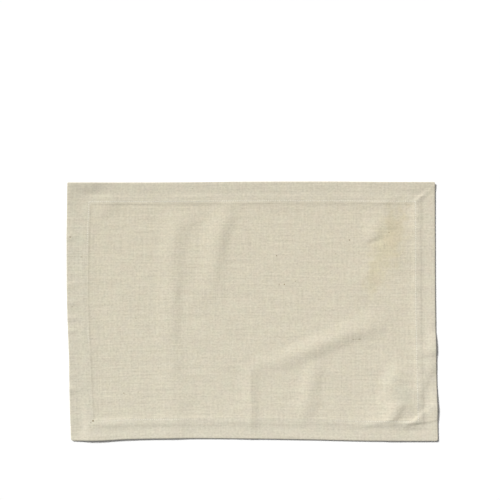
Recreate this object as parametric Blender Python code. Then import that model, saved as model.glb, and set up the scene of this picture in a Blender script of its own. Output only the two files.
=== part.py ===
"""A fabric placemat: one piece of heavy plain-weave cotton with a double-turned, stitched hem.

It lies on a table as it came out of its packing, flat but for soft creases, a puckered corner and
edges that curl up a little. The frame has +X along the mat's length, +Y towards its far long
edge and +Z up, with the origin under the middle of the mat, on the table.
"""

import math
from collections import namedtuple

import bmesh
import bpy

MM = 0.001

# The finished mat and its cloth
LENGTH = 500 * MM
WIDTH = 352 * MM
CLOTH = 1.0 * MM

# The hem: the edge is folded under, and its raw edge is turned in once more
HEM = 28.5 * MM
TURN_IN = 10.0 * MM
TWO_LAYERS = 1.7 * MM
THREE_LAYERS = 2.4 * MM
LAYER_STEP = 1.5 * MM
TURN_IN_EDGE = HEM - TURN_IN

# The folded edge is round: its last bit of cloth is thinner
FOLD_ROUND = 0.8 * MM
FOLD_DRAW_IN = 0.76 * MM

# Beside the hem's own folded edge the panel sags from the hem's height down to the table
HEM_DROP = 0.3 * MM
PANEL_ON_TABLE = 41.0 * MM

# The hem's outer edge curls up from the table
CURL = 0.6 * MM

# The grid of the faceted cloth across the panel
COLUMN_PITCH = 9.7 * MM
ROW_PITCH = 10.4 * MM

COTTON = (0.62, 0.57, 0.45, 1.0)
COTTON_ROUGHNESS = 0.92

Corner = namedtuple("Corner", "x y radius")
CORNERS = {
    "near_left": Corner(-246.5 * MM, -176.4 * MM, 3.0 * MM),
    "near_right": Corner(253.1 * MM, -176.7 * MM, 3.0 * MM),
    "far_left": Corner(-251.6 * MM, 175.3 * MM, 1.0 * MM),
    "far_right": Corner(248.8 * MM, 175.8 * MM, 1.6 * MM),
}

# An edge runs from its first corner to its last, and faces outward. Its bow is how far it stands
# outside the straight line between them, and its lift how far it stands off the table beyond its
# curl, both as rows of: share of the way, millimetres.
Edge = namedtuple("Edge", "first last outward bow lift")
EDGES = {
    "near": Edge(
        "near_left",
        "near_right",
        (0, -1),
        bow=((0, 0), (0.08, -0.5), (0.17, -2.5), (0.36, -3.5), (0.65, -1.9), (0.8, -0.3), (1, 0)),
        lift=((0, 0.3), (0.06, 1.8), (0.12, 0.8), (0.17, 1.3), (0.24, 0.4), (0.7, 0.1), (0.9, 0.2), (1, 1.4)),
    ),
    "far": Edge(
        "far_left",
        "far_right",
        (0, 1),
        bow=((0, 0), (0.3, 0.1), (0.46, 0.8), (0.7, 1.0), (0.82, 0.5), (1, 0)),
        lift=((0, 0.3), (0.06, 1.0), (0.13, 0.1), (0.5, 0.2), (0.9, 0.4), (1, 2.8)),
    ),
    "left": Edge(
        "near_left",
        "far_left",
        (-1, 0),
        bow=((0, 0), (0.15, 1.1), (0.33, 1.5), (0.52, 3.0), (0.75, 2.7), (0.9, 1.4), (1, 0)),
        lift=((0, 0.3), (0.2, 0.5), (0.4, 0.2), (0.6, 0.3), (0.9, 0.2), (1, 0.3)),
    ),
    "right": Edge(
        "near_right",
        "far_right",
        (1, 0),
        bow=((0, 0), (0.15, -0.5), (0.3, -1.1), (0.55, -1.3), (0.75, -0.6), (1, 0)),
        lift=((0, 1.4), (0.08, 2.2), (0.18, 0.6), (0.3, 1.8), (0.42, 0.3), (0.8, 0.1), (0.93, 1.6), (1, 2.8)),
    ),
}

# A crease is a crest along a route through x, y points. It spreads to both sides, left and right
# as seen going along the route. All in millimetres.
Crease = namedtuple("Crease", "name height left_side right_side route")
CREASES = (
    Crease("fold_at_a_quarter", 0.7, 12, 20, ((-114, -166), (-114, -40), (-107, 42), (-110, 146))),
    Crease("fold_left_of_middle", 0.8, 17, 10, ((-30, 142), (-40, 110), (-45, 87), (-47, 60), (-47, 30))),
    Crease("long_slanting_fold", 1.3, 16, 10, ((0, -80), (49, -65), (79, -52), (139, -26), (191, -12))),
    Crease("middle_fold", 0.5, 8, 10, ((0, -150), (-1, -110), (-1, -76))),
    Crease("fold_right_of_middle", 0.7, 11, 11, ((78, -143), (81, -108), (82, -75))),
    Crease("fold_by_the_right_hem", 1.0, 8, 12, ((169, -149), (186, -138), (194, -121), (199, -72))),
    Crease("right_hem_ripple", 0.6, 19, 6, ((229, -61), (250, -56))),
    Crease("right_hem_slant", 0.5, 8, 7, ((226, -116), (244, -82))),
    Crease("mitre_in_the_far_right_corner", 0.6, 6, 6, ((223, 146), (245, 171))),
)

# A crease fades over this share of its route at each end, to this share of its height
CREASE_FADE = 0.18
CREASE_END_HEIGHT = 0.35

# A mound is a low swelling: its place, radii and height in millimetres
Mound = namedtuple("Mound", "name x y radius_x radius_y height")
MOUNDS = (
    Mound("swelling_by_the_far_right", 168, 118, 22, 28, 0.9),
    Mound("puckered_corner", 214, -146, 18, 16, 0.9),
    Mound("far_left_corner", -212, 136, 22, 16, 0.6),
)


def smooth_step(start, end, at):
    """0 at start, 1 at end, level at both."""
    t = min(1.0, max(0.0, (at - start) / (end - start)))
    return t * t * (3 - 2 * t)


def read_curve(rows, at):
    """A smooth curve through rows of (place, value), read at one place."""
    last = next((i for i in range(1, len(rows)) if at <= rows[i][0]), len(rows) - 1)
    before, start, end = rows[max(0, last - 2)], rows[last - 1], rows[last]
    after = rows[min(len(rows) - 1, last + 1)]
    span = end[0] - start[0]
    start_slope = (end[1] - before[1]) / (end[0] - before[0]) * span
    end_slope = (after[1] - start[1]) / (after[0] - start[0]) * span
    t = (at - start[0]) / span
    from_slopes = (t**3 - 2 * t**2 + t) * start_slope + (t**3 - t**2) * end_slope
    return start[1] + (end[1] - start[1]) * (3 * t**2 - 2 * t**3) + from_slopes


def edge_point(edge, share):
    """A point of the mat's outline at a share of the way along an edge."""
    first, last = CORNERS[edge.first], CORNERS[edge.last]
    out = read_curve(edge.bow, share) * MM
    return (
        first.x + (last.x - first.x) * share + edge.outward[0] * out,
        first.y + (last.y - first.y) * share + edge.outward[1] * out,
    )


def lay_out(a, b):
    """Where the point at a along the mat's length and b across its width lies on the table.

    The cloth spreads evenly between the four bowed edges, as a patch ruled both ways less the
    part that both rulings count.
    """
    s, t = a / LENGTH, b / WIDTH
    near, far = edge_point(EDGES["near"], s), edge_point(EDGES["far"], s)
    left, right = edge_point(EDGES["left"], t), edge_point(EDGES["right"], t)
    place = []
    for axis in (0, 1):
        near_corners = (1 - s) * CORNERS["near_left"][axis] + s * CORNERS["near_right"][axis]
        far_corners = (1 - s) * CORNERS["far_left"][axis] + s * CORNERS["far_right"][axis]
        across = (1 - t) * (near[axis] - near_corners) + t * (far[axis] - far_corners)
        place.append(across + (1 - s) * left[axis] + s * right[axis])
    return place


def round_corner(a, b):
    """Draws the cloth at a corner in from the square to an arc of that corner's radius."""
    for name, corner in CORNERS.items():
        from_left, from_near = "left" in name, "near" in name
        in_a = a if from_left else LENGTH - a
        in_b = b if from_near else WIDTH - b
        if max(in_a, in_b) < corner.radius:
            p, q = 1 - in_a / corner.radius, 1 - in_b / corner.radius
            pull_a = p * (1 - math.sqrt(1 - q * q / 2)) * corner.radius
            pull_b = q * (1 - math.sqrt(1 - p * p / 2)) * corner.radius
            a += pull_a if from_left else -pull_a
            b += pull_b if from_near else -pull_b
    return a, b


def place_on_route(route, x, y):
    """The distance from a route, whether the point is on its left, and the share along it."""
    lengths = [math.dist(start, end) for start, end in zip(route, route[1:])]
    found = []
    walked = 0.0
    for start, end, length in zip(route, route[1:], lengths):
        way_x, way_y = (end[0] - start[0]) / length, (end[1] - start[1]) / length
        along = min(length, max(0.0, (x - start[0]) * way_x + (y - start[1]) * way_y))
        off_x, off_y = x - start[0] - way_x * along, y - start[1] - way_y * along
        on_left = way_x * off_y > way_y * off_x
        found.append((math.hypot(off_x, off_y), on_left, (walked + along) / sum(lengths)))
        walked += length
    return min(found)


def crease_height(crease, x, y):
    """A crease's crest is highest along the middle of its route and falls smoothly to both sides."""
    distance, on_left, share = place_on_route(crease.route, x, y)
    reach = crease.left_side if on_left else crease.right_side
    ends = smooth_step(0, CREASE_FADE, share) * smooth_step(1, 1 - CREASE_FADE, share)
    crest = crease.height * (CREASE_END_HEIGHT + (1 - CREASE_END_HEIGHT) * ends)
    return crest * smooth_step(reach, 0, distance)


def mound_height(mound, x, y):
    radius = math.hypot((x - mound.x) / mound.radius_x, (y - mound.y) / mound.radius_y)
    return mound.height * smooth_step(1, 0, radius)


def relief(x, y):
    """How far the creases and mounds hold the cloth off the table at a point."""
    x, y = x / MM, y / MM
    creases = sum(crease_height(crease, x, y) for crease in CREASES)
    mounds = sum(mound_height(mound, x, y) for mound in MOUNDS)
    return (creases + mounds) * MM


def edge_lift(a, b):
    """How far the nearest edge's curl and lift hold the outer part of the hem off the table."""
    inward = {"near": b, "far": WIDTH - b, "left": a, "right": LENGTH - a}
    share = {"near": a / LENGTH, "far": a / LENGTH, "left": b / WIDTH, "right": b / WIDTH}
    lifts = []
    for name, edge in EDGES.items():
        height = CURL + read_curve(edge.lift, share[name]) * MM
        lifts.append(height * smooth_step(TURN_IN_EDGE, 0, inward[name]))
    return max(lifts)


def lying_flat(inward):
    """Underside and top of the cloth, before any lift, at a distance inward from the folded edge."""
    if inward > HEM:
        sag = (THREE_LAYERS - CLOTH) * smooth_step(PANEL_ON_TABLE, HEM, inward)
        return sag, sag + CLOTH
    third_layer = smooth_step(TURN_IN_EDGE - LAYER_STEP, TURN_IN_EDGE, inward)
    layers = TWO_LAYERS + (THREE_LAYERS - TWO_LAYERS) * third_layer
    across_fold = min(1.0, inward / FOLD_ROUND)
    draw_in = FOLD_DRAW_IN * (1 - math.sqrt(1 - (1 - across_fold) ** 2))
    return draw_in, layers - draw_in


def cloth_point(a, b):
    """The place of the point at a along the mat and b across it, with its underside and top."""
    x, y = lay_out(*round_corner(a, b))
    under, top = lying_flat(min(a, b, LENGTH - a, WIDTH - b))
    lift = relief(x, y) + edge_lift(a, b)
    return x, y, under + lift, top + lift


def grid_lines(extent, pitch):
    """Grid lines from edge to edge: the hem's own lines at both sides, even ones across the panel."""
    hem_lines = [
        0.0,
        FOLD_ROUND,
        TURN_IN_EDGE / 2,
        TURN_IN_EDGE - LAYER_STEP,
        TURN_IN_EDGE,
        HEM,
        HEM + HEM_DROP,
        PANEL_ON_TABLE,
    ]
    panel = extent - 2 * PANEL_ON_TABLE
    count = round(panel / pitch)
    panel_lines = [PANEL_ON_TABLE + panel * i / count for i in range(1, count)]
    return hem_lines + panel_lines + [extent - line for line in reversed(hem_lines)]


def cloth_mesh():
    """One closed mesh: top and underside over the same grid, joined round the folded edge."""
    columns, rows = grid_lines(LENGTH, COLUMN_PITCH), grid_lines(WIDTH, ROW_PITCH)
    bm = bmesh.new()
    under, top = {}, {}
    for i, a in enumerate(columns):
        for j, b in enumerate(rows):
            x, y, low, high = cloth_point(a, b)
            under[i, j] = bm.verts.new((x, y, low))
            top[i, j] = bm.verts.new((x, y, high))
    last_i, last_j = len(columns) - 1, len(rows) - 1
    for i in range(last_i):
        for j in range(last_j):
            ring = ((i, j), (i + 1, j), (i + 1, j + 1), (i, j + 1))
            bm.faces.new([top[corner] for corner in ring])
            bm.faces.new([under[corner] for corner in reversed(ring)])
    rim = [(i, 0) for i in range(last_i)] + [(last_i, j) for j in range(last_j)]
    rim += [(i, last_j) for i in range(last_i, 0, -1)] + [(0, j) for j in range(last_j, 0, -1)]
    for here, after in zip(rim, rim[1:] + rim[:1]):
        bm.faces.new((under[here], under[after], top[after], top[here]))
    bmesh.ops.triangulate(bm, faces=bm.faces[:])
    mesh = bpy.data.meshes.new("placemat")
    bm.to_mesh(mesh)
    bm.free()
    return mesh


def centre_on_origin(mesh):
    """Moves the mat so that the origin is under the middle of its box, on the table."""
    lowest = [min(v.co[axis] for v in mesh.vertices) for axis in range(3)]
    highest = [max(v.co[axis] for v in mesh.vertices) for axis in range(3)]
    for v in mesh.vertices:
        v.co.x -= (lowest[0] + highest[0]) / 2
        v.co.y -= (lowest[1] + highest[1]) / 2
        v.co.z -= lowest[2]


def cotton_material():
    material = bpy.data.materials.new("natural_cotton")
    material.use_nodes = True
    shader = material.node_tree.nodes["Principled BSDF"]
    shader.inputs["Base Color"].default_value = COTTON
    shader.inputs["Roughness"].default_value = COTTON_ROUGHNESS
    shader.inputs["Metallic"].default_value = 0.0
    return material


def main():
    for old in list(bpy.data.objects):
        bpy.data.objects.remove(old)
    mesh = cloth_mesh()
    centre_on_origin(mesh)
    mesh.shade_smooth()
    mesh.materials.append(cotton_material())
    placemat = bpy.data.objects.new("placemat", mesh)
    bpy.context.scene.collection.objects.link(placemat)


main()
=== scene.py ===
"""The looks of a fabric placemat in undyed plain-weave cotton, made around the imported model.

A place on the cloth is a, its distance from the left edge, and b, its distance from the near edge,
both measured on the flat finished mat. lay_out() says where that place lies on the table. Sizes are
in millimetres until a mesh is made, which is in metres like everything in Blender here.
"""

from collections import namedtuple

import bpy
import numpy as np
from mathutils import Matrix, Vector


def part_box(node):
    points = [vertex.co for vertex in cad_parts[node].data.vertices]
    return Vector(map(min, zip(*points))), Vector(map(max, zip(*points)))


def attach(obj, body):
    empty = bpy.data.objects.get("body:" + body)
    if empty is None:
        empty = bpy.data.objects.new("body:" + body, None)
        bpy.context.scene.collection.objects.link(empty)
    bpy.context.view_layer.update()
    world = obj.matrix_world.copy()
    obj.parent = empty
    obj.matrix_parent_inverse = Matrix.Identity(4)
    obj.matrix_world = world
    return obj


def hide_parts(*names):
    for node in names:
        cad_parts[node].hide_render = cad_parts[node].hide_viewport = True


METRE = 0.001  # one of this script's millimetres, in Blender's metres

# ---------------------------------------------------------------- the cloth and its hem

# The finished mat, the cloth's thickness and the radius of its folded edge
LENGTH = 500.0
WIDTH = 352.0
CLOTH = 1.0
FOLD_RADIUS = 0.85

# How far in from an edge the hem, its turned-in cut edge and its stitches lie, and how far it curls up
HEM = 28.5
TURN_IN_EDGE = 18.5
STITCH_LINE = 26.3
CURL = 0.6

# Each side's hem, as rows of distance inward from the folded edge, height of the top
HEM_TOPS = {
    "near": (
        (0.85, 1.7), (8, 1.7), (12, 1.79), (15, 1.93), (18, 2.14), (20, 2.3), (22, 2.34), (24, 2.26),
        (26.3, 2.03), (27.3, 1.96), (28.4, 1.88), (29.6, 1.69), (31, 1.53), (34, 1.36), (38, 1.22),
        (46, 1.06), (52, 1.0)),
    "far": (
        (0.85, 1.7), (10, 1.7), (16.2, 1.72), (17.5, 1.78), (19.2, 1.97), (20.2, 2.01), (24, 1.92),
        (26.3, 1.85), (27.3, 1.88), (28.6, 1.88), (29.4, 1.83), (30.1, 1.65), (30.9, 1.48), (31.8, 1.4),
        (35, 1.26), (40, 1.11), (46, 1.02), (52, 1.0)),
    "left": (
        (0.85, 1.7), (10, 1.7), (16.2, 1.75), (19, 1.86), (21, 1.9), (24, 1.86), (26.3, 1.79), (27.3, 1.84),
        (28.2, 1.83), (28.8, 1.74), (29.6, 1.52), (31, 1.4), (35, 1.26), (40, 1.11), (46, 1.02), (52, 1.0)),
    "right": (
        (0.85, 1.7), (14, 1.7), (17.2, 1.76), (18.3, 1.86), (19.5, 2.08), (20.6, 2.17), (22, 2.2),
        (24, 2.17), (26.3, 2.05), (27.3, 2.0), (28.4, 1.92), (30, 1.7), (32, 1.48), (38, 1.23),
        (46, 1.06), (52, 1.0)),
}  # fmt: skip

# The left hem is wider than the others: rows of share of the way up it, how much farther in its seam
# is, and how far in from the edge the cloth no longer shifts with it
LEFT_SEAM_DRIFT = (
    (0, 3.7), (0.08, 3.7), (0.24, 1.8), (0.45, 0.8), (0.63, 0.8), (0.82, 2.5), (0.92, 3.7), (1, 3.7),
)  # fmt: skip
LEFT_SEAM_DRIFT_ENDS = 85.0

# How quickly one side's hem turns into the next one's at a mitre
HEM_BLEND = 1.0
HEM_BLEND_POWER = 8

# The grid's lines beside an edge, by distance inward, and its pitch across the panel
HEM_LINES = (
    0, 0.12, 0.4, 0.85, 2.2, 4, 6, 8, 10, 12, 14, 16, 17.2, 18.2, 19.2, 20.2, 21.2, 22.4, 23.7, 24.8,
    25.6, 26.3, 26.9, 27.5, 28, 28.3, 28.5, 28.8, 29.4, 30.2, 31.5, 33, 35, 37.5, 40,
)  # fmt: skip
PANEL_PITCH = 2.2

# How many places along a long and a short edge the outline is measured at
OUTLINE_PLACES = (801, 601)

# ---------------------------------------------------------------- how the mat lies

Corner = namedtuple("Corner", "x y radius")
CORNERS = {
    "near_left": Corner(-246.5, -176.4, 3.0),
    "near_right": Corner(253.1, -176.7, 3.0),
    "far_left": Corner(-251.1, 175.1, 1.4),
    "far_right": Corner(248.8, 175.8, 1.6),
}

# An edge runs from its first corner to its last. Its bow is how far it stands outside the straight
# line between them, and its lift how far it stands off the table beyond its curl, both as rows of
# share of the way, millimetres.
Edge = namedtuple("Edge", "first last outward bow lift")
EDGES = {
    "near": Edge(
        "near_left",
        "near_right",
        (0, -1),
        bow=((0, 0), (0.08, -0.5), (0.17, -2.5), (0.36, -3.5), (0.65, -1.9), (0.8, -0.3), (1, 0)),
        lift=(
            (0, 0.5), (0.06, 1.8), (0.12, 1.1), (0.17, 1.6), (0.24, 1.5), (0.28, 0.9), (0.7, 0.7),
            (0.84, 0.9), (0.9, 1.3), (1, 1.2)),
    ),
    "far": Edge(
        "far_left",
        "far_right",
        (0, 1),
        bow=((0, 0), (0.3, 0.1), (0.46, 0.8), (0.7, 1.0), (0.82, 0.5), (1, 0)),
        lift=(
            (0, 0.3), (0.03, 1.4), (0.065, 2.4), (0.11, 0.5), (0.2, 0.2), (0.5, 0.1), (0.9, 0.2),
            (1, 2.4)),
    ),
    "left": Edge(
        "near_left",
        "far_left",
        (-1, 0),
        bow=((0, 0), (0.15, 1.1), (0.33, 1.5), (0.52, 3.0), (0.75, 2.7), (0.9, 1.4), (1, 0)),
        lift=((0, 0.3), (0.2, -0.3), (0.4, -0.5), (0.6, -0.45), (0.9, -0.3), (1, 0.3)),
    ),
    "right": Edge(
        "near_right",
        "far_right",
        (1, 0),
        bow=((0, 0), (0.15, -0.5), (0.3, -1.1), (0.55, -1.3), (0.75, -0.6), (1, 0)),
        lift=(
            (0, 1.0), (0.05, 0.9), (0.08, 1.3), (0.12, 3.1), (0.16, 2.5), (0.21, 0.9), (0.29, 0.7),
            (0.33, 0.9), (0.355, 1.7), (0.38, 2.2), (0.4, 1.8), (0.425, 0.6), (0.46, 0.6), (0.8, 0.35),
            (0.93, 0.8), (1, 0.9)),
    ),
}  # fmt: skip

# A fold's crest runs through rows of x, y, height, reach to the left, reach to the right, as seen
# going along it. It is round across at sharp 0, and has a sharp crest at 1.
Fold = namedtuple("Fold", "name sharp rows")
FOLDS = (
    Fold("fold_at_a_quarter", 0, (
        (-107, -178, 0.7, 26, 24), (-106, -150, 0.9, 30, 30), (-106, -117, 1.0, 34, 34),
        (-109.5, -85, 1.0, 28, 20), (-111, -55, 0.7, 28, 20), (-108, -25, 1.3, 32, 14),
        (-110.5, 3, 1.35, 26, 20), (-108, 25, 1.5, 26, 14), (-107, 44, 1.4, 26, 19),
        (-108.5, 63, 1.5, 27, 20), (-108.5, 84, 1.75, 24, 22), (-105, 100, 1.8, 25, 23),
        (-103, 113, 1.7, 28, 25), (-103, 126, 1.2, 30, 50), (-104, 142, 0.4, 28, 60))),
    Fold("thin_line_in_it", 0.5, ((-111, -2, 0.05, 4, 4), (-104, 21, 0.28, 4, 4), (-97, 42, 0.05, 4, 4))),
    Fold("fold_left_of_middle", 0, (
        (-62, 8, 0.0, 22, 34), (-60, 33, 0.9, 22, 34), (-53, 50, 1.4, 24, 23), (-50, 67, 1.85, 24, 20),
        (-48.5, 82, 2.0, 25, 20), (-45, 98, 2.25, 28, 19), (-42.5, 110, 2.25, 28, 17.5),
        (-38, 122, 1.8, 26, 19), (-31, 141, 0.9, 22, 21), (-27, 152, 0.1, 22, 21))),
    Fold("long_slanting_fold", 0, (
        (0, -77, 0.1, 16, 20), (11, -72.5, 0.95, 17, 23), (26, -68.5, 1.2, 17, 23), (44, -64, 1.5, 14, 22),
        (63, -58, 1.85, 19, 20), (82, -51, 2.35, 20, 19), (101, -42.5, 2.45, 22, 19.5),
        (120, -35, 2.4, 21, 20), (139, -28.5, 1.9, 22, 16.5), (157, -23.5, 1.4, 24, 17),
        (173, -14.5, 1.0, 34, 20), (194, -2, 0.2, 30, 19))),
    Fold("middle_fold", 0.6, (
        (-0.5, -172, 0.4, 22, 14), (-1.2, -150, 1.35, 22, 14), (-1.5, -128, 1.6, 22, 15),
        (-1.5, -102, 1.75, 22, 16), (-1.2, -86, 1.5, 22, 17), (-1, -75, 0.8, 22, 17),
        (-1, -66, 0.0, 22, 16))),
    Fold("fold_right_of_middle", 0, (
        (52, -149, 0.1, 22, 18), (64, -143, 0.5, 26, 18), (72.5, -134, 1.5, 26, 18),
        (76.5, -120, 1.9, 22, 23), (77.5, -106, 2.1, 20, 21), (82, -93, 1.8, 19, 20),
        (85, -77, 1.0, 20, 17), (86, -64, 0.0, 20, 16))),
    Fold("rise_to_the_near_right_corner", 0, (
        (150, -156, 0.3, 30, 30), (172, -152, 1.2, 38, 30), (185, -150, 1.8, 42, 40),
        (194, -137, 2.4, 46, 46), (199, -125, 2.8, 44, 44), (195, -111, 2.9, 32, 38),
        (192, -102, 3.0, 24, 34), (195.5, -91, 2.9, 21, 34), (199, -81, 2.1, 20, 34),
        (202, -70, 0.5, 18, 34), (205, -61, 0.0, 18, 34))),
    Fold("drop_beside_the_corner", 0, (
        (182, -152, 0.2, 14, 10), (188, -147, 1.2, 18, 12), (194.3, -137, 2.2, 20, 13.5),
        (200.5, -130, 1.6, 18, 9.5), (203.5, -121, 0.1, 14, 8))),
    Fold("crease_into_the_corner", 0.3, (
        (150, -156, 0.1, 8, 6), (160, -153.6, 0.7, 9, 6), (175, -150.6, 0.8, 10, 6),
        (191, -146.3, 0.8, 10, 6), (201, -142.5, 0.3, 10, 6))),
    Fold("corner_ridge", 0.3, (
        (208, -154, 0.1, 4, 5), (213, -152.5, 0.9, 4, 6), (222, -149.5, 1.2, 5, 8),
        (229.5, -142.5, 1.3, 5, 14), (236, -136.5, 1.1, 5, 15), (243, -132, 0.7, 6, 16),
        (250, -129, 0.5, 6, 16))),
    Fold("corner_step", 0.3, (
        (164, -153.4, 0.1, 12, 4), (185, -153.2, 0.3, 12, 4), (205, -152.4, 0.5, 12, 4),
        (224, -151.6, 0.9, 12, 4), (237, -150.6, 0.8, 12, 4), (250, -147.5, 0.6, 12, 4))),
    Fold("right_hem_ripple", 0, ((225, -60, 0.3, 19, 7), (237, -58, 0.8, 19, 7), (250, -55, 0.9, 19, 7))),
    Fold("right_hem_slant", 0, (
        (227.5, -120, 0.3, 30, 14), (228.5, -111.5, 0.8, 30, 14), (231, -103.5, 0.8, 30, 10),
        (238, -88.5, 0.6, 30, 7), (246, -78.5, 0.5, 30, 6.5), (251, -72, 0.2, 30, 6.5))),
    Fold("right_hem_swelling", 0, (
        (236, -106, 0.1, 16, 10), (237, -95, 0.8, 18, 12), (239, -80, 1.1, 20, 16), (241, -66, 0.8, 22, 24),
        (243, -52, 0.9, 24, 30), (243, -38, 0.5, 24, 30), (243, -28, 0.0, 24, 30))),
    Fold("drop_beside_the_right_hem", 0, (
        (198, 130, 0.1, 60, 18), (197, 108, 0.8, 60, 20), (196, 90, 1.1, 60, 22), (197, 75, 1.0, 60, 20),
        (202, 57, 0.5, 50, 11), (202, 42, 0.1, 50, 11))),
    Fold("slope_on_the_far_hem", 0, (
        (152, 176, 0.6, 24, 20), (153, 162, 0.9, 24, 20), (154, 153, 0.6, 24, 20),
        (155, 145, 0.3, 24, 20), (155, 136, 0.0, 24, 20))),
    Fold("mitre_in_the_far_right_corner", 0.5, (
        (218, 146.5, 0.1, 5, 8), (223.5, 150.5, 0.7, 5, 7), (233, 158, 0.9, 5, 7), (241, 164.5, 0.7, 5, 7),
        (247, 169, 0.3, 5, 7))),
    Fold("thicker_by_the_far_right_corner", 0, (
        (228, 120, 0.1, 14, 9), (228, 132, 0.5, 14, 9), (227, 146, 0.4, 14, 9), (224, 152, 0.1, 14, 9))),
    Fold("slack_inside_the_near_hem", 0, (
        (-40, -139.5, 0.0, 45, 14), (-22, -139.5, 0.7, 45, 14), (60, -140, 0.7, 45, 14),
        (115, -141, 0.6, 45, 14), (138, -141, 0.0, 45, 14))),
    Fold("ridge_on_the_far_right", 0, (
        (176, 170, 0.3, 40, 36), (177, 157, 0.6, 36, 34), (178, 146, 1.4, 22, 34),
        (178.5, 135, 1.8, 24, 31), (179, 122, 2.1, 27, 29), (175.5, 113, 1.6, 26, 31),
        (178, 104, 1.0, 24, 34), (184, 92, 0.9, 26, 29), (187, 78, 0.8, 24, 25),
        (194, 62, 0.6, 22, 17), (199, 45, 0.0, 20, 16))),
    Fold("pleat_at_the_pinch", 0.3, (
        (152, 96, 0.1, 30, 6), (159, 98.3, 1.1, 30, 6), (166, 100.5, 1.6, 28, 7),
        (172, 102.3, 1.2, 26, 6.5), (178, 104, 0.1, 22, 6))),
    Fold("lip_of_the_pinch", 0.3, (
        (160, 86.5, 0.05, 7, 20), (167, 88, 0.9, 7, 24), (176, 89.5, 0.9, 7, 24), (183, 91, 0.05, 7, 20))),
    Fold("drawn_in_by_the_far_hem", 0.5, (
        (-206, 143.5, -0.02, 3, 4), (-190, 143.8, -0.16, 3, 4), (-150, 144.2, -0.16, 3, 4),
        (-112, 144.5, -0.02, 3, 4))),
    Fold("near_hem_ridge_on_the_left", 0.3, (
        (-205, -153.5, 0.1, 9, 10), (-190, -153.8, 0.45, 9, 10), (-150, -154.3, 0.5, 9, 10),
        (-122, -154.3, 0.3, 9, 10), (-108, -154, 0.05, 9, 10))),
    Fold("rise_beside_the_near_left_corner", 0, (
        (-220, -178, 1.1, 16, 90), (-220, -158, 1.5, 16, 90), (-221, -143, 0.8, 16, 90),
        (-221, -122, 0.6, 14, 90), (-221, -108, 0.0, 14, 90))),
    Fold("far_left_diagonal", 0, (
        (-216, 128, 0.0, 30, 17), (-206, 135, 1.1, 30, 17), (-190, 146, 1.1, 30, 17),
        (-178, 151, 0.0, 30, 17))),
    Fold("short_line", 0.5, ((112, -2, 0.0, 10, 9), (114, 15, 0.42, 10, 9), (115, 31, 0.0, 10, 9))),
    Fold("faint_arc", 0.5, ((-176, 31, 0.05, 10, 4), (-139, 51, 0.24, 10, 4), (-115, 50, 0.05, 10, 4))),
)  # fmt: skip

# Ripples across the outer left hem: their place along y, height, and reach on the nearer side
Ripple = namedtuple("Ripple", "y height reach")
LEFT_RIPPLES = (
    Ripple(102, 0.9, 10), Ripple(36, 0.6, 9), Ripple(11, 0.8, 7), Ripple(-11, 0.6, 4.5),
    Ripple(-27.5, 0.7, 5), Ripple(-88.5, 0.8, 5), Ripple(-107, 1.1, 9),
)  # fmt: skip
LEFT_RIPPLE_ENDS = (-251, -229)
LEFT_RIPPLE_FAR_REACH = 6.0

# A mound is a low swelling: its place, radii and height
Mound = namedtuple("Mound", "name x y radius_x radius_y height")
MOUNDS = (
    Mound("swelling_below_the_pinch", 150, 46, 33, 30, 0.65),
    Mound("pucker_beside_the_corner_ridge", 209, -156, 8, 9, 0.8),
    Mound("smaller_pucker_beside_it", 219, -157.5, 4, 5, 0.45),
    Mound("raised_far_left_corner", -262, 186, 60, 55, 3.0),
)

# Fine unevenness: the size of its swellings, its height and its seed
Unevenness = namedtuple("Unevenness", "size height seed")
BROAD_UNEVENNESS = Unevenness(34.0, 0.22, 11)
FINE_UNEVENNESS = Unevenness(9.0, 0.05, 12)

# Puckers drawn in by the stitches
PUCKER_LENGTH = 7.0
PUCKER_REACH = 6.5
PUCKER_HEIGHT = 0.16
PUCKER_SEED = 21

# The mitre's shallow groove on the underside, and how near its diagonal a point counts as on it
MITRE_GROOVE = 0.25
ON_DIAGONAL = 1e-6

# ---------------------------------------------------------------- weave, thread and colours

YARNS_ALONG_LENGTH = 510
YARN_PITCH = LENGTH / YARNS_ALONG_LENGTH
COTTON = (0.645, 0.590, 0.463)
COTTON_ROUGHNESS = 0.86
COTTON_ROUGHNESS_RANGE = 0.08
COTTON_SHEEN = 0.15
COTTON_SHEEN_ROUGHNESS = 0.5
COTTON_SPECULAR = 0.2
THREAD = (0.92, 0.90, 0.82)
THREAD_ROUGHNESS = 0.8
THREAD_TWIST = 0.6
THREAD_GROOVE = 0.05
# the darker tint in the thread's grooves between its strands is painted shade
THREAD_GROOVE_SHADE = (0.94, 0.93, 0.9)
WAVE_STEP = 10  # radians of a diagonal wave texture for each unit of x or y

# The noise's detail, its middle value, and how far one seed moves it along a and along b
NOISE_DETAIL = 1.0
NOISE_MIDDLE = 0.5
NOISE_SEED_STEPS = (17.3, 9.7)

# Streaks of thicker and thinner yarn: their size along a and along b, and how much they show
Streak = namedtuple("Streak", "name along_a along_b strength seed")
STREAKS = (
    Streak("weft_yarns", 60.0, 2.1, 0.18, 2),
    Streak("weft_bundles", 14.0, 3.8, 0.06, 3),
    Streak("warp_yarns", 1.7, 40.0, 0.12, 4),
    Streak("warp_bundles", 3.4, 16.0, 0.06, 8),
    Streak("grain", 3.2, 2.3, 0.29, 5),
)
WEAVE_HEIGHT = 0.09
STREAK_HEIGHT = 0.5
ROUGH_PATCH_SIZE = 30.0
ROUGH_PATCH_SEED = 1

# Faint tints: the size of their patches, and how much they warm and how much they green the cloth
Tint = namedtuple("Tint", "size strength seed")
WARM_TINT = Tint(9.0, 0.03, 6)
GREEN_TINT = Tint(14.0, 0.045, 7)

# Tints that grow towards the near edge and towards the left edge, and one for the hem, which fades
# between two distances inward
NEAR_TINT = (1.015, 1.024, 1.040)
LEFT_TINT = (0.994, 1.002, 1.0)
HEM_TINT = (0.979, 0.987, 1.0)
HEM_TINT_EDGE = (26.0, 30.0)

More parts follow.
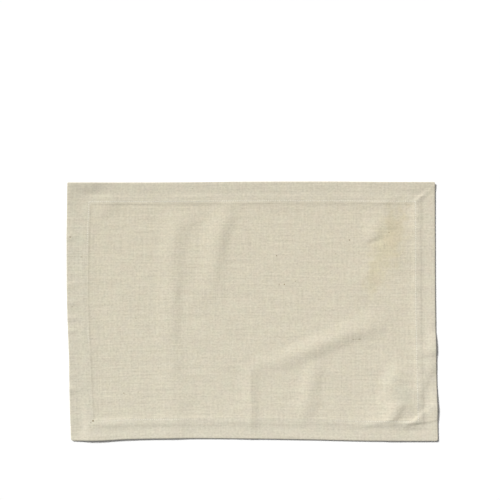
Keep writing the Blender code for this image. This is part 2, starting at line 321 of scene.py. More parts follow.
# Spots on the cloth: place, radii, degrees turned anticlockwise, and how much they show
Spot = namedtuple("Spot", "a b radius_a radius_b turn strength")
STAIN_TINT = (0.972, 0.962, 0.868)
STAIN = (
    Spot(433, 262, 29, 84, -18, 0.8),
    Spot(443, 282, 29, 44, -12, 0.45),
    Spot(421, 227, 24, 44, -17, 0.55),
)
DARKER_STAIN_TINT = (0.958, 0.927, 0.90)
DARKER_STAIN = (
    Spot(447, 282, 19, 46, -12, 0.55),
    Spot(415, 221, 15, 26, -14, 0.4),
)
STAIN_EDGE = 0.8
STAIN_WOBBLE = Tint(11.0, 0.8, 9)
SPOT_JOIN = 0.1  # how softly one spot joins the next, as a share of the edge
# Patches that have kept less of the cloth's warmth
COOL_TINT = (0.966, 0.992, 0.998)
COOL_PATCHES = (
    Spot(456, 64, 22, 26, 0, 0.95),
    Spot(438, 86, 18, 20, 0, 0.6),
    Spot(13, 262, 16, 62, 0, 0.4),
)
FLECK_TINT = (0.36, 0.29, 0.21)
FLECKS = (
    Spot(295.5, 211.5, 1.2, 0.8, 0, 1.0), Spot(285.0, 250.5, 1.2, 0.9, 0, 0.85),
    Spot(384.0, 272.5, 1.1, 1.0, 0, 0.8), Spot(387.8, 137.3, 1.9, 0.6, 0, 0.55),
    Spot(396.3, 137.8, 2.4, 0.8, 0, 0.6), Spot(392.0, 137.5, 3.0, 0.4, 0, 0.25),
    Spot(437.5, 283.0, 1.2, 0.9, 0, 0.6), Spot(73.5, 63.0, 1.1, 0.9, 0, 0.7),
    Spot(93.5, 64.0, 0.9, 0.8, 0, 0.4), Spot(288.5, 211.5, 1.0, 0.8, 0, 0.55),
    Spot(310.5, 215.5, 0.9, 0.8, 0, 0.5), Spot(170.5, 343.0, 1.0, 0.9, 0, 0.5),
    Spot(93.0, 165.5, 1.0, 0.9, 0, 0.5), Spot(365.0, 253.5, 0.9, 0.8, 0, 0.45),
    Spot(367.0, 347.0, 1.1, 0.8, 0, 0.4), Spot(19.5, 250.5, 1.8, 0.9, 0, 0.5),
    Spot(5.0, 277.5, 1.2, 1.2, 0, 0.7), Spot(27.6, 27.0, 1.6, 1.5, 0, 0.9),
    Spot(24.6, 24.6, 0.9, 0.9, 0, 0.5), Spot(75.0, 62.0, 0.9, 0.8, 0, 0.5),
    Spot(7.0, 183.0, 1.2, 1.0, 0, 0.4), Spot(401.0, 290.5, 1.0, 0.8, 0, 0.35),
)  # fmt: skip
FLECK_EDGE = 0.4
SMALL_FLECK_CELL = 8.0
SMALL_FLECK_RADIUS = 0.5
SMALL_FLECK_SHARE = 0.45
SMALL_FLECK_STRENGTH = 0.45

# ---------------------------------------------------------------- view and light

# The photograph is 500 pixels square and shows the mat from straight above
PIXEL = 1.3631
PHOTO_SIDE = 500
VIEW_CENTRE = (-2.95, 83.25)
CAMERA_HEIGHT = 1500.0
SENSOR = 36.0

SUN_ELEVATION = 45.0
SUN_HEADING = -47.0
SUN_ANGLE = 12.0
SUN_STRENGTH = 3.81
FILL = 0.215
BACKDROP = 1.0
FLOOR = (0.95, 0.95, 0.95)
FLOOR_SIDE = 12000.0
FLOOR_GAP = 0.2


# ================================================================ curves and noise


def smooth_step(start, end, at):
    """0 at start, 1 at end, level at both."""
    t = np.clip((at - start) / (end - start), 0, 1)
    return t * t * (3 - 2 * t)


def read_curve(rows, at):
    """A smooth curve through rows of (place, value), read at many places."""
    at = np.asarray(at, float)
    places, values = np.array(rows, float).T
    wide_places = np.concatenate([places[:1], places, places[-1:]])
    wide_values = np.concatenate([values[:1], values, values[-1:]])
    slopes = (wide_values[2:] - wide_values[:-2]) / (wide_places[2:] - wide_places[:-2])
    i = np.clip(np.searchsorted(places, at) - 1, 0, len(places) - 2)
    span = places[i + 1] - places[i]
    t = np.clip((at - places[i]) / span, 0, 1)
    along_chord = values[i] + (values[i + 1] - values[i]) * (3 * t**2 - 2 * t**3)
    from_slopes = (t**3 - 2 * t**2 + t) * slopes[i] + (t**3 - t**2) * slopes[i + 1]
    return along_chord + span * from_slopes


def soft_noise(a, b, size, seed):
    """Smooth noise from -1 to 1 over the cloth, with a random value at each knot of a lattice."""
    knots = np.random.default_rng(seed).uniform(-1, 1, (int(LENGTH / size) + 4, int(LENGTH / size) + 4))
    u, v = np.clip(a / size, 0, None) + 1, np.clip(b / size, 0, None) + 1
    i, j = u.astype(int), v.astype(int)
    s, t = smooth_step(0, 1, u - i), smooth_step(0, 1, v - j)
    near = knots[i, j] + (knots[i + 1, j] - knots[i, j]) * s
    far = knots[i, j + 1] + (knots[i + 1, j + 1] - knots[i, j + 1]) * s
    return near + (far - near) * t


# ================================================================ how the cloth lies


def edge_point(edge, share):
    """A point of the mat's outline at a share of the way along an edge."""
    first, last = CORNERS[edge.first], CORNERS[edge.last]
    out = read_curve(edge.bow, share)
    return (
        first.x + (last.x - first.x) * share + edge.outward[0] * out,
        first.y + (last.y - first.y) * share + edge.outward[1] * out,
    )


def lay_out(a, b):
    """Where places on the cloth lie on the table.

    The cloth spreads evenly between the four bowed edges, as a patch ruled both ways less the
    part that both rulings count.
    """
    s, t = a / LENGTH, b / WIDTH
    near, far = edge_point(EDGES["near"], s), edge_point(EDGES["far"], s)
    left, right = edge_point(EDGES["left"], t), edge_point(EDGES["right"], t)
    place = []
    for axis in (0, 1):
        near_corners = (1 - s) * CORNERS["near_left"][axis] + s * CORNERS["near_right"][axis]
        far_corners = (1 - s) * CORNERS["far_left"][axis] + s * CORNERS["far_right"][axis]
        across = (1 - t) * (near[axis] - near_corners) + t * (far[axis] - far_corners)
        place.append(across + (1 - s) * left[axis] + s * right[axis])
    return place


def round_corners(a, b):
    """Draws the cloth at each corner in from the square to an arc of that corner's radius."""
    for name, corner in CORNERS.items():
        from_left, from_near = "left" in name, "near" in name
        in_a = a if from_left else LENGTH - a
        in_b = b if from_near else WIDTH - b
        p = np.clip(1 - in_a / corner.radius, 0, 1)
        q = np.clip(1 - in_b / corner.radius, 0, 1)
        pull_a = p * (1 - np.sqrt(1 - q * q / 2)) * corner.radius
        pull_b = q * (1 - np.sqrt(1 - p * p / 2)) * corner.radius
        a = a + (pull_a if from_left else -pull_a)
        b = b + (pull_b if from_near else -pull_b)
    return a, b


def from_sides(a, b):
    """The distance in from each edge."""
    return {"near": b, "far": WIDTH - b, "left": a, "right": LENGTH - a}


def inward_of(a, b):
    """The distance in from the nearest edge."""
    return np.min(np.stack(list(from_sides(a, b).values())), axis=0)


def left_seam_drift(a, b):
    """How far the cloth is shifted to the right around the left hem's seam."""
    around = smooth_step(0, HEM, a) * smooth_step(LEFT_SEAM_DRIFT_ENDS, HEM, a)
    return around * read_curve(LEFT_SEAM_DRIFT, b / WIDTH)


def fold_height(fold, x, y):
    """A fold's height at points of the table, from the nearest place on its crest."""
    nearest = np.full(x.shape, np.inf)
    height = np.zeros(x.shape)
    reach = np.ones(x.shape)
    for start, end in zip(fold.rows, fold.rows[1:]):
        length = np.hypot(end[0] - start[0], end[1] - start[1])
        way_x, way_y = (end[0] - start[0]) / length, (end[1] - start[1]) / length
        along = np.clip((x - start[0]) * way_x + (y - start[1]) * way_y, 0, length)
        off_x, off_y = x - start[0] - way_x * along, y - start[1] - way_y * along
        distance = np.hypot(off_x, off_y)
        share = smooth_step(0, length, along)
        crest, left, right = (start[k] + (end[k] - start[k]) * share for k in (2, 3, 4))
        nearer = distance < nearest
        height = np.where(nearer, crest, height)
        reach = np.where(nearer, np.where(way_x * off_y > way_y * off_x, left, right), reach)
        nearest = np.where(nearer, distance, nearest)
    away = np.clip(nearest / reach, 0, 1)
    return height * ((1 - fold.sharp) * smooth_step(1, 0, away) + fold.sharp * (1 - away) ** 2)


def left_ripple(ripple):
    """A short ripple across the outer part of the left hem, as a fold."""
    outer, inner = LEFT_RIPPLE_ENDS
    reach = (LEFT_RIPPLE_FAR_REACH, ripple.reach)
    rows = ((outer, ripple.y, ripple.height, *reach), (inner, ripple.y + 1, 0, *reach))
    return Fold(f"left_ripple_at_{ripple.y}", 0, rows)


def mound_height(mound, x, y):
    radius = np.hypot((x - mound.x) / mound.radius_x, (y - mound.y) / mound.radius_y)
    return mound.height * smooth_step(1, 0, radius)


def along_sides(a, b):
    """The share of the way along each edge."""
    return {"near": a / LENGTH, "far": a / LENGTH, "left": b / WIDTH, "right": b / WIDTH}


def edge_lift(a, b):
    """How far the nearest edge's curl and lift hold the outer part of the hem off the table."""
    inward, share = from_sides(a, b), along_sides(a, b)
    lift = np.zeros(a.shape)
    for name, edge in EDGES.items():
        height = CURL + read_curve(edge.lift, share[name])
        lift = np.maximum(lift, height * smooth_step(TURN_IN_EDGE, 0, inward[name]))
    return lift


def puckers(a, b):
    """Small crosswise swellings beside the stitches."""
    beside = np.exp(-(((inward_of(a, b) - STITCH_LINE) / PUCKER_REACH) ** 2))
    return PUCKER_HEIGHT * beside * (0.5 + 0.5 * soft_noise(a, b, PUCKER_LENGTH, PUCKER_SEED))


def unevenness(a, b):
    """The cloth's own fine waviness, never below the table."""
    total = np.zeros(a.shape)
    for wave in (BROAD_UNEVENNESS, FINE_UNEVENNESS):
        total += wave.height * (0.5 + 0.5 * soft_noise(a, b, wave.size, wave.seed))
    return total


def hem_top(a, b):
    """Height of the top across the hem. Along a mitre, it is midway between the two sides'."""
    inward = inward_of(a, b)
    height, total = 0.0, 0.0
    for side, distance in from_sides(a, b).items():
        weight = (np.clip(distance, 0, None) + HEM_BLEND) ** -HEM_BLEND_POWER
        height = height + weight * read_curve(HEM_TOPS[side], inward)
        total = total + weight
    return height / total


def lying_flat(a, b):
    """Underside and top of the cloth, before any lift."""
    inward = inward_of(a, b)
    in_fold = np.clip(inward, 0, FOLD_RADIUS)
    fold_half = np.sqrt(np.clip(FOLD_RADIUS**2 - (FOLD_RADIUS - in_fold) ** 2, 0, None))
    top = np.where(inward < FOLD_RADIUS, FOLD_RADIUS + fold_half, hem_top(a, b))
    into_flap_edge = np.clip(inward - (HEM - FOLD_RADIUS), 0, FOLD_RADIUS)
    under = FOLD_RADIUS - fold_half
    under = under + FOLD_RADIUS - np.sqrt(FOLD_RADIUS**2 - into_flap_edge**2)
    return np.where(inward > HEM, np.clip(top - CLOTH, 0, None), under), top


def cloth_at(a, b):
    """x and y on the table, underside and top, at places on the cloth."""
    x, y = lay_out(*round_corners(a, b))
    x = x + left_seam_drift(a, b)
    under, top = lying_flat(a, b)
    lift = edge_lift(a, b) + puckers(a, b) + unevenness(a, b)
    for fold in (*FOLDS, *map(left_ripple, LEFT_RIPPLES)):
        lift = lift + fold_height(fold, x, y)
    for mound in MOUNDS:
        lift = lift + mound_height(mound, x, y)
    lift = np.maximum(lift, 0)
    return x, y, under + lift, top + lift


def offset_from_frame():
    """How far the mat moves on the table, so that its outline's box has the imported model's middle."""
    along_length = np.linspace(0, LENGTH, OUTLINE_PLACES[0])
    along_width = np.linspace(0, WIDTH, OUTLINE_PLACES[1])
    a = np.concatenate([along_length, along_length, 0 * along_width, 0 * along_width + LENGTH])
    b = np.concatenate([0 * along_length, 0 * along_length + WIDTH, along_width, along_width])
    low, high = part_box("placemat")
    return [
        (low[axis] + high[axis]) / 2 / METRE - (place.min() + place.max()) / 2
        for axis, place in enumerate(lay_out(*round_corners(a, b)))
    ]


# ================================================================ meshes


def grid_lines(extent):
    """Lines from edge to edge: the hem's own lines at both sides, even ones across the panel."""
    hem = np.array(HEM_LINES, float)
    start, end = hem[-1], extent - hem[-1]
    panel = np.linspace(start, end, round((end - start) / PANEL_PITCH) + 1)
    return np.concatenate([hem[:-1], panel, (extent - hem[:-1])[::-1]])


def mesh_object(name, points, faces):
    """A smooth-shaded mesh object, from points in millimetres."""
    mesh = bpy.data.meshes.new(name)
    mesh.from_pydata((points * METRE).tolist(), [], faces.tolist())
    mesh.shade_smooth()
    made = bpy.data.objects.new(name, mesh)
    bpy.context.scene.collection.objects.link(made)
    return made


def add_uv(made, name, corners):
    """A UV map, from one (u, v) row for each face corner."""
    layer = made.data.uv_layers.new(name=name)
    layer.uv.foreach_set("vector", np.ascontiguousarray(corners, dtype=np.float32).ravel())


# The OFBake map, a layout for textures: the top fills its width, the underside lies above it
MAP_SIDE = 1024
MAP_MARGIN = 2 / MAP_SIDE
MAP_SCALE = (1 - 2 * MAP_MARGIN) / LENGTH
MAP_GAP = 8 / MAP_SIDE


def map_places(a, b, on_top):
    """Where places on the cloth lie on that map."""
    u = MAP_MARGIN + a * MAP_SCALE
    top_v = MAP_MARGIN + b * MAP_SCALE
    under_start = MAP_MARGIN + WIDTH * MAP_SCALE + MAP_GAP
    under_v = under_start + b / WIDTH * (1 - MAP_MARGIN - under_start)
    return np.stack([u, np.where(on_top, top_v, under_v)], -1)


def cloth_triangles(number, a_lines, b_lines):
    """Two triangles to a cell, split towards the mat's nearest corner, so that mitres stay straight."""
    one, two, three, four = number[:-1, :-1], number[1:, :-1], number[1:, 1:], number[:-1, 1:]
    on_left = (a_lines[:-1] + a_lines[1:] < LENGTH)[:, None]
    near = (b_lines[:-1] + b_lines[1:] < WIDTH)[None, :]
    rising = (on_left == near)[..., None]
    first = np.where(rising, np.stack([one, two, three], -1), np.stack([one, two, four], -1))
    second = np.where(rising, np.stack([one, three, four], -1), np.stack([two, three, four], -1))
    return np.stack([first, second], 2).reshape(-1, 3)


def make_cloth(offset):
    """The cloth as one closed sheet: top and underside share the points of the folded edge."""
    a_lines, b_lines = grid_lines(LENGTH), grid_lines(WIDTH)
    a, b = np.meshgrid(a_lines, b_lines, indexing="ij")
    x, y, under, top = cloth_at(a, b)
    from_corner = np.minimum(a, LENGTH - a) - np.minimum(b, WIDTH - b)
    on_mitre = (np.abs(from_corner) < ON_DIAGONAL) & (inward_of(a, b) < HEM)
    under = np.where(on_mitre, under + MITRE_GROOVE, under)
    x, y = x + offset[0], y + offset[1]

    inner = (slice(1, -1), slice(1, -1))
    top_number = np.arange(a.size).reshape(a.shape)
    under_number = top_number.copy()
    under_number[inner] = a.size + np.arange(a[inner].size).reshape(a[inner].shape)
    points = np.concatenate([
        np.stack([x, y, top], -1).reshape(-1, 3),
        np.stack([x, y, under], -1)[inner].reshape(-1, 3),
    ])  # fmt: skip
    places = np.stack([a, b], -1)
    flat = np.concatenate([places.reshape(-1, 2), places[inner].reshape(-1, 2)])
    upper = cloth_triangles(top_number, a_lines, b_lines)
    lower = cloth_triangles(under_number, a_lines, b_lines)[:, ::-1]
    faces = np.concatenate([upper, lower])
    cloth = mesh_object("placemat_cloth", points, faces)
    corners = flat[faces.reshape(-1)]
    on_top = np.arange(len(corners)) < upper.size
    add_uv(cloth, "Cloth", corners)
    add_uv(cloth, "OFBake", map_places(corners[:, 0], corners[:, 1], on_top))
    return cloth


# ================================================================ stitches

# A stitch's pitch, half length and thread, and the sides of the tube that it is made as
STITCH_PITCH = 3.0
STITCH_HALF = 1.28
STITCH_HALF_SPREAD = 0.05
THREAD_RADIUS = 0.28
STITCH_SIDES = 6

# How far its middle stands above the cloth, how far its ends dive below that, and its slant
STITCH_RISE = 0.154
STITCH_DIVE = 0.34
STITCH_DIVE_POWER = 4
STITCH_SLANT = 0.1
STITCH_SLANT_SPREAD = 0.03

# How much deeper the stitches lie where the cloth has closed over them, by share of the way along
SEAM_SINK = {
    "near": (
        (0, 0.4), (0.08, 0.4), (0.12, 0.3), (0.28, 0.3), (0.34, 0.38), (0.6, 0.4), (0.78, 0.36),
        (0.83, 0.25), (0.9, 0.25), (0.95, 0.36), (1, 0.36)),
    "far": ((0, 0.0), (0.36, 0.0), (0.45, 0.2), (0.6, 0.25), (1, 0.2)),
    "left": (
        (0, 0.45), (0.3, 0.42), (0.42, 0.38), (0.5, 0.44), (0.66, 0.42), (0.76, 0.32), (0.87, 0.05),
        (1, 0.0)),
    "right": ((0, 0.3), (0.15, 0.1), (0.3, 0.0), (1, 0.0)),
}  # fmt: skip
# Rings along a stitch: share of its half length, share of the thread's radius
STITCH_RINGS = ((-1.0, 0.1), (-0.82, 0.8), (-0.4, 1.0), (0.0, 1.0), (0.4, 1.0), (0.82, 0.8), (1.0, 0.1))
STITCH_SEED = 31


def seam_places():
    """Middle a, b of each stitch, and its way along the seam, round the mat."""
    middles, ways = [], []
    corners = [
        (STITCH_LINE, STITCH_LINE),
        (LENGTH - STITCH_LINE, STITCH_LINE),
        (LENGTH - STITCH_LINE, WIDTH - STITCH_LINE),
        (STITCH_LINE, WIDTH - STITCH_LINE),
    ]
    for start, end in zip(corners, corners[1:] + corners[:1]):
        start, end = np.array(start), np.array(end)
        run = np.linalg.norm(end - start)
        count = round(run / STITCH_PITCH)
        shares = (np.arange(count) + 0.5) / count
        middles.append(start + (end - start) * shares[:, None])
        ways.append(np.tile((end - start) / run, (count, 1)))
    return np.concatenate(middles), np.concatenate(ways)


def seam_sink(a, b):
    """How much deeper the stitches lie, as the nearest side's rows say."""
    share = along_sides(a, b)
    sides = from_sides(a, b)
    nearest = np.argmin(np.stack(list(sides.values())), axis=0)
    sinks = np.stack([read_curve(SEAM_SINK[side], share[side]) for side in sides])
    return np.take_along_axis(sinks, nearest[None], axis=0)[0]


def make_stitches(name, offset, on_top):
    """One row of stitches round the mat, each a short thread whose ends dive into the cloth."""
    middles, ways = seam_places()
    draws = np.random.default_rng(STITCH_SEED + on_top)
    slant = STITCH_SLANT + draws.normal(0, STITCH_SLANT_SPREAD, len(middles))
    across = np.stack([-ways[:, 1], ways[:, 0]], -1)
    ways = ways + across * slant[:, None]
    place, thick = np.array(STITCH_RINGS).T
    half = STITCH_HALF + draws.normal(0, STITCH_HALF_SPREAD, len(middles))
    ab = middles[:, None] + ways[:, None] * (place[None, :] * half[:, None])[..., None]
    x, y, under, top = cloth_at(ab[..., 0], ab[..., 1])
    rise = STITCH_RISE - STITCH_DIVE * place**STITCH_DIVE_POWER
    if on_top:
        z = top + rise - seam_sink(*middles.T)[:, None]
    else:
        z = np.maximum(under - np.minimum(rise, 0), THREAD_RADIUS * thick)
    way = np.gradient(np.stack([x, y], -1), axis=1)
    way /= np.linalg.norm(way, axis=-1, keepdims=True)
    out_x, out_y = -way[..., 1], way[..., 0]
    turn = np.arange(STITCH_SIDES) * 2 * np.pi / STITCH_SIDES
    sideways = THREAD_RADIUS * thick[:, None] * np.cos(turn)
    upward = THREAD_RADIUS * thick[:, None] * np.sin(turn)
    points = np.stack([
        x[..., None] + offset[0] + out_x[..., None] * sideways,
        y[..., None] + offset[1] + out_y[..., None] * sideways,
        z[..., None] + upward,
    ], -1)  # fmt: skip
    return mesh_object(name, points.reshape(-1, 3), tube_faces(len(middles), len(place)))


def tube_faces(count, rings):
    """Faces of many closed tubes, each with its rings one after another."""
    ring, step = np.meshgrid(np.arange(rings - 1), np.arange(STITCH_SIDES), indexing="ij")
    after = (step + 1) % STITCH_SIDES
    here, there = ring * STITCH_SIDES, (ring + 1) * STITCH_SIDES
    walls = [
        np.stack([here + step, there + step, there + after], -1).reshape(-1, 3),
        np.stack([here + step, there + after, here + after], -1).reshape(-1, 3),
    ]
    corner = np.arange(1, STITCH_SIDES - 1)
    fan = np.stack([0 * corner, corner, corner + 1], -1)
    ends = [fan, fan[:, ::-1] + (rings - 1) * STITCH_SIDES]
    one = np.concatenate(walls + ends)[:, ::-1]
    starts = np.arange(count) * rings * STITCH_SIDES
    return (one[None] + starts[:, None, None]).reshape(-1, 3)


# ================================================================ materials


def add_node(tree, kind, inputs=None, **settings):
    """A node with its settings, and its inputs set or linked by name or number."""
    made = tree.nodes.new(kind)
    for name, value in settings.items():
        setattr(made, name, value)
    for socket, value in (inputs or {}).items():
        if isinstance(value, bpy.types.NodeSocket):
            tree.links.new(value, made.inputs[socket])
        else:
            made.inputs[socket].default_value = value
    return made


def calculate(tree, operation, *values):
    """The result of one step of arithmetic."""
    return add_node(tree, "ShaderNodeMath", dict(enumerate(values)), operation=operation).outputs[0]


def flat_place(tree):
    """a and b in millimetres, from the cloth's own UV map."""
    cloth_map = add_node(tree, "ShaderNodeUVMap", uv_map="Cloth").outputs[0]
    split = add_node(tree, "ShaderNodeSeparateXYZ", {0: cloth_map})
    return split.outputs[0], split.outputs[1]


def noise(tree, a, b, a_size, b_size, seed):
    """Noise from about 0.2 to 0.8, whose swellings are about a_size by b_size."""
    a_start, b_start = (step * seed for step in NOISE_SEED_STEPS)
    u = calculate(tree, "ADD", calculate(tree, "DIVIDE", a, a_size), a_start)
    v = calculate(tree, "ADD", calculate(tree, "DIVIDE", b, b_size), b_start)
    place = add_node(tree, "ShaderNodeCombineXYZ", {0: u, 1: v}).outputs[0]
    inputs = {"Vector": place, "Scale": 1.0, "Detail": NOISE_DETAIL}
    return add_node(tree, "ShaderNodeTexNoise", inputs, noise_dimensions="2D").outputs[0]


def noise_about_zero(tree, a, b, a_size, b_size, strength, seed):
    """The same noise, about zero and as strong as given."""
    texture = noise(tree, a, b, a_size, b_size, seed)
    return calculate(tree, "MULTIPLY", calculate(tree, "SUBTRACT", texture, NOISE_MIDDLE), strength)


def tint_noise(tree, a, b, tint):
    """A faint tint's noise."""
    return noise_about_zero(tree, a, b, tint.size, tint.size, tint.strength, tint.seed)


def plain_weave(tree, a, b):
    """Height of a plain weave, from 0 in the gaps to 1 on each yarn where it lies on top."""
    warp_wave = calculate(tree, "SINE", calculate(tree, "MULTIPLY", a, np.pi / YARN_PITCH))
    weft_wave = calculate(tree, "SINE", calculate(tree, "MULTIPLY", b, np.pi / YARN_PITCH))
    across_warp = calculate(tree, "ABSOLUTE", warp_wave)
    across_weft = calculate(tree, "ABSOLUTE", weft_wave)
    warp_on_top = calculate(tree, "GREATER_THAN", calculate(tree, "MULTIPLY", warp_wave, weft_wave), 0.0)
    warp_dome = calculate(tree, "MULTIPLY", across_warp, calculate(tree, "SQRT", across_weft))
    weft_dome = calculate(tree, "MULTIPLY", across_weft, calculate(tree, "SQRT", across_warp))
    dome = add_node(tree, "ShaderNodeMix", {0: warp_on_top, 2: weft_dome, 3: warp_dome})
    return dome.outputs[0]


def new_material(name):
    """A material, its nodes and its surface shader."""
    material = bpy.data.materials.new(name)
    material.use_nodes = True
    tree = material.node_tree
    return material, tree, tree.nodes["Principled BSDF"]


def uneven_yarn(tree, a, b):
    """All the streaks together, about zero."""
    total = 0.0
    for _, along_a, along_b, strength, seed in STREAKS:
        shown = noise_about_zero(tree, a, b, along_a, along_b, strength, seed)
        total = calculate(tree, "ADD", shown, total)
    return total


def spots(tree, a, b, rows, edge, wobble=0.0):
    """The strongest of several oval spots at each place.

    The edge is the share of a radius that fades, and the wobble is added to the radius.
    """
    place = add_node(tree, "ShaderNodeCombineXYZ", {0: a, 1: b}).outputs[0]
    strongest = 0.0
    for spot in rows:
        inputs = {
            "Vector": place,
            "Location": (spot.a, spot.b, 0),
            "Rotation": (0, 0, np.radians(spot.turn)),
            "Scale": (spot.radius_a, spot.radius_b, 1),
        }
        inside = add_node(tree, "ShaderNodeMapping", inputs, vector_type="TEXTURE").outputs[0]
        radius = add_node(tree, "ShaderNodeVectorMath", {0: inside}, operation="LENGTH").outputs["Value"]
        radius = calculate(tree, "ADD", radius, wobble)
        shown = change_range(tree, radius, 1.0, 1.0 - edge, 0.0, spot.strength)
        strongest = calculate(tree, "SMOOTH_MAX", shown, strongest, SPOT_JOIN * edge)
    return strongest


def small_flecks(tree, a, b):
    """Tiny bits of husk, one near the middle of some of the cells of an uneven net."""
    place = add_node(tree, "ShaderNodeCombineXYZ", {0: a, 1: b}).outputs[0]
    inputs = {"Vector": place, "Scale": 1 / SMALL_FLECK_CELL}
    cells = add_node(tree, "ShaderNodeTexVoronoi", inputs, voronoi_dimensions="2D")
    draw = add_node(tree, "ShaderNodeSeparateColor", {0: cells.outputs["Color"]})
    radius = calculate(tree, "MULTIPLY", draw.outputs[0], SMALL_FLECK_RADIUS / SMALL_FLECK_CELL)
    inside = calculate(tree, "LESS_THAN", cells.outputs["Distance"], radius)
    chosen = calculate(tree, "LESS_THAN", draw.outputs[1], SMALL_FLECK_SHARE)
    strength = calculate(tree, "MULTIPLY", draw.outputs[2], SMALL_FLECK_STRENGTH)
    return calculate(tree, "MULTIPLY", calculate(tree, "MULTIPLY", inside, chosen), strength)


def change_range(tree, value, from_low, from_high, to_low, to_high):
    """The value moved from one range to another, level at both ends."""
    inputs = {0: value, 1: from_low, 2: from_high, 3: to_low, 4: to_high}
    return add_node(tree, "ShaderNodeMapRange", inputs, interpolation_type="SMOOTHSTEP").outputs[0]


def tinted(tree, colour, tint, share):
    """The colour multiplied by a tint, as far as the share says."""
    inputs = {0: share, 6: colour, 7: (*tint, 1.0)}  # 6 and 7 are the node's sockets for colours
    return add_node(tree, "ShaderNodeMix", inputs, data_type="RGBA", blend_type="MULTIPLY").outputs[2]


def cotton_colour(tree, a, b, yarn):
    """The clean cloth's colour, uneven from yarn to yarn and from place to place."""
    tone = calculate(tree, "ADD", yarn, 1.0)
    warm, green = (tint_noise(tree, a, b, tint) for tint in (WARM_TINT, GREEN_TINT))
    tints = {
        0: calculate(tree, "ADD", 1.0, warm),
        1: calculate(tree, "ADD", 1.0, green),
        2: calculate(tree, "SUBTRACT", 1.0, warm),
    }
    tint = add_node(tree, "ShaderNodeCombineXYZ", tints).outputs[0]
    colour = add_node(tree, "ShaderNodeVectorMath", {0: COTTON, 1: tint}, operation="MULTIPLY").outputs[0]
    inputs = {0: colour, "Scale": tone}
    colour = add_node(tree, "ShaderNodeVectorMath", inputs, operation="SCALE").outputs[0]
    colour = tinted(tree, colour, NEAR_TINT, change_range(tree, b, 0.0, WIDTH, 1.0, 0.0))
    colour = tinted(tree, colour, LEFT_TINT, change_range(tree, a, 0.0, LENGTH, 1.0, 0.0))
    inward = calculate(
        tree,
        "MINIMUM",
        calculate(tree, "MINIMUM", a, calculate(tree, "SUBTRACT", LENGTH, a)),
        calculate(tree, "MINIMUM", b, calculate(tree, "SUBTRACT", WIDTH, b)),
    )
    in_hem = change_range(tree, inward, HEM_TINT_EDGE[1], HEM_TINT_EDGE[0], 0.0, 1.0)
    return tinted(tree, colour, HEM_TINT, in_hem)


def marked(tree, a, b, colour):
    """The colour with the stain, the cool patches and the flecks."""
    wobble = tint_noise(tree, a, b, STAIN_WOBBLE)
    for tint, rows in ((STAIN_TINT, STAIN), (DARKER_STAIN_TINT, DARKER_STAIN), (COOL_TINT, COOL_PATCHES)):
        colour = tinted(tree, colour, tint, spots(tree, a, b, rows, STAIN_EDGE, wobble))
    colour = tinted(tree, colour, FLECK_TINT, spots(tree, a, b, FLECKS, FLECK_EDGE))
    return tinted(tree, colour, FLECK_TINT, small_flecks(tree, a, b))


def cotton_cloth():
    """Undyed cotton in plain weave, with its marks."""
    material, tree, shader = new_material("cotton_cloth")
    a, b = flat_place(tree)
    weave = plain_weave(tree, a, b)
    yarn = uneven_yarn(tree, a, b)
    colour = marked(tree, a, b, cotton_colour(tree, a, b, yarn))
    tree.links.new(colour, shader.inputs["Base Color"])
    patch = noise(tree, a, b, ROUGH_PATCH_SIZE, ROUGH_PATCH_SIZE, ROUGH_PATCH_SEED)
    rougher = calculate(tree, "MULTIPLY", patch, COTTON_ROUGHNESS_RANGE)
    tree.links.new(calculate(tree, "ADD", rougher, COTTON_ROUGHNESS), shader.inputs["Roughness"])
    streaks = calculate(tree, "MULTIPLY", yarn, STREAK_HEIGHT)
    height = calculate(tree, "MULTIPLY_ADD", weave, WEAVE_HEIGHT, streaks)
    bump = add_node(tree, "ShaderNodeBump", {"Height": height, "Strength": 1.0, "Distance": METRE})
    tree.links.new(bump.outputs[0], shader.inputs["Normal"])
    shader.inputs["Sheen Weight"].default_value = COTTON_SHEEN
    shader.inputs["Sheen Roughness"].default_value = COTTON_SHEEN_ROUGHNESS
    shader.inputs["Specular IOR Level"].default_value = COTTON_SPECULAR
    return material


def sewing_thread():
    """Pale cotton thread, twisted from strands that cross it at a slant, with painted shade in the grooves
    between the strands.
    """
    material, tree, shader = new_material("sewing_thread")
    place = add_node(tree, "ShaderNodeTexCoord").outputs["Object"]
    turns = {"Vector": place, "Scale": 2 * np.pi / (WAVE_STEP * THREAD_TWIST * METRE)}
    strands = add_node(tree, "ShaderNodeTexWave", turns, bands_direction="DIAGONAL").outputs["Fac"]
    # painted shade: the grooves between the strands, where the bump is low, are coloured darker
    painted_groove_shade = calculate(tree, "SUBTRACT", 1.0, strands)
    colour = add_node(tree, "ShaderNodeCombineXYZ", dict(enumerate(THREAD))).outputs[0]
    colour = tinted(tree, colour, THREAD_GROOVE_SHADE, painted_groove_shade)
    tree.links.new(colour, shader.inputs["Base Color"])
    bump = add_node(tree, "ShaderNodeBump", {"Height": strands, "Distance": THREAD_GROOVE * METRE})
    tree.links.new(bump.outputs[0], shader.inputs["Normal"])
    shader.inputs["Roughness"].default_value = THREAD_ROUGHNESS
    return material


def floor_paint():
    """Matt white."""
    material, _, shader = new_material("floor_paint")
    shader.inputs["Base Color"].default_value = (*FLOOR, 1)
    shader.inputs["Roughness"].default_value = 1.0
    shader.inputs["Specular IOR Level"].default_value = 0.0
    return material


# ================================================================ stage, light and view


def make_floor():
    half = FLOOR_SIDE / 2
    corners = ((-half, -half), (half, -half), (half, half), (-half, half))
    points = np.array([(x, y, -FLOOR_GAP) for x, y in corners])
    floor = mesh_object("floor", points, np.array([(0, 1, 2, 3)]))
    floor.data.materials.append(floor_paint())


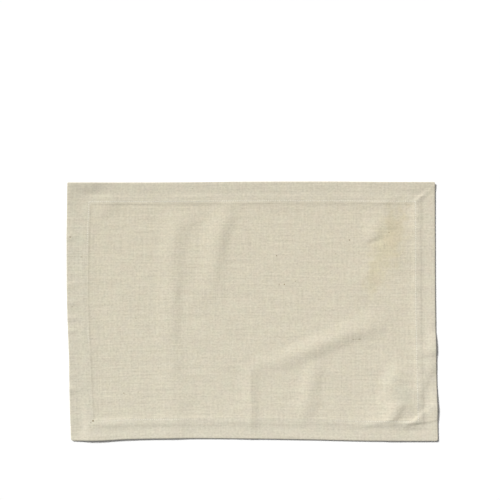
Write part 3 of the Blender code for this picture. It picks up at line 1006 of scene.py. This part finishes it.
def make_light():
    lamp = bpy.data.lights.new("sun", "SUN")
    lamp.energy = SUN_STRENGTH
    lamp.angle = np.radians(SUN_ANGLE)
    sun = bpy.data.objects.new("sun", lamp)
    sun.rotation_euler = (0, np.radians(SUN_ELEVATION - 90), np.radians(SUN_HEADING))
    bpy.context.scene.collection.objects.link(sun)


def make_world():
    """An even fill, with a pale backdrop where the camera looks past the floor."""
    world = bpy.data.worlds.new("studio")
    world.use_nodes = True
    tree = world.node_tree
    background = tree.nodes["Background"]
    seen = add_node(tree, "ShaderNodeLightPath").outputs["Is Camera Ray"]
    strength = add_node(tree, "ShaderNodeMix", {0: seen, 2: FILL, 3: BACKDROP})
    background.inputs["Color"].default_value = (1, 1, 1, 1)
    tree.links.new(strength.outputs[0], background.inputs["Strength"])
    bpy.context.scene.world = world


def make_camera():
    """Straight down on the mat, framed as the photograph."""
    lens = bpy.data.cameras.new("camera")
    lens.sensor_width = SENSOR
    lens.lens = SENSOR * CAMERA_HEIGHT / (PHOTO_SIDE * PIXEL)
    camera = bpy.data.objects.new("camera", lens)
    camera.location = (VIEW_CENTRE[0] * METRE, VIEW_CENTRE[1] * METRE, CAMERA_HEIGHT * METRE)
    bpy.context.scene.collection.objects.link(camera)
    bpy.context.scene.camera = camera


# ================================================================ the whole

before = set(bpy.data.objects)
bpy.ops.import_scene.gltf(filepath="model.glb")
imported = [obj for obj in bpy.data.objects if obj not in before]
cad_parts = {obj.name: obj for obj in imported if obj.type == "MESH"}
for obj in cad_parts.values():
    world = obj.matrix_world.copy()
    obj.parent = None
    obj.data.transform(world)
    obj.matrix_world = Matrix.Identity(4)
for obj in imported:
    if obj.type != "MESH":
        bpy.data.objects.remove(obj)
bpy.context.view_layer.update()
bpy.context.scene.view_settings.view_transform = "Standard"

offset = offset_from_frame()
cloth = make_cloth(offset)
cloth.data.materials.append(cotton_cloth())
stitches = [
    make_stitches("stitches_on_top", offset, True),
    make_stitches("stitches_underneath", offset, False),
]
thread = sewing_thread()
for row in stitches:
    row.data.materials.append(thread)
for piece in (cloth, *stitches):
    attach(piece, "root")
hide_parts("placemat")

make_floor()
make_light()
make_world()
make_camera()
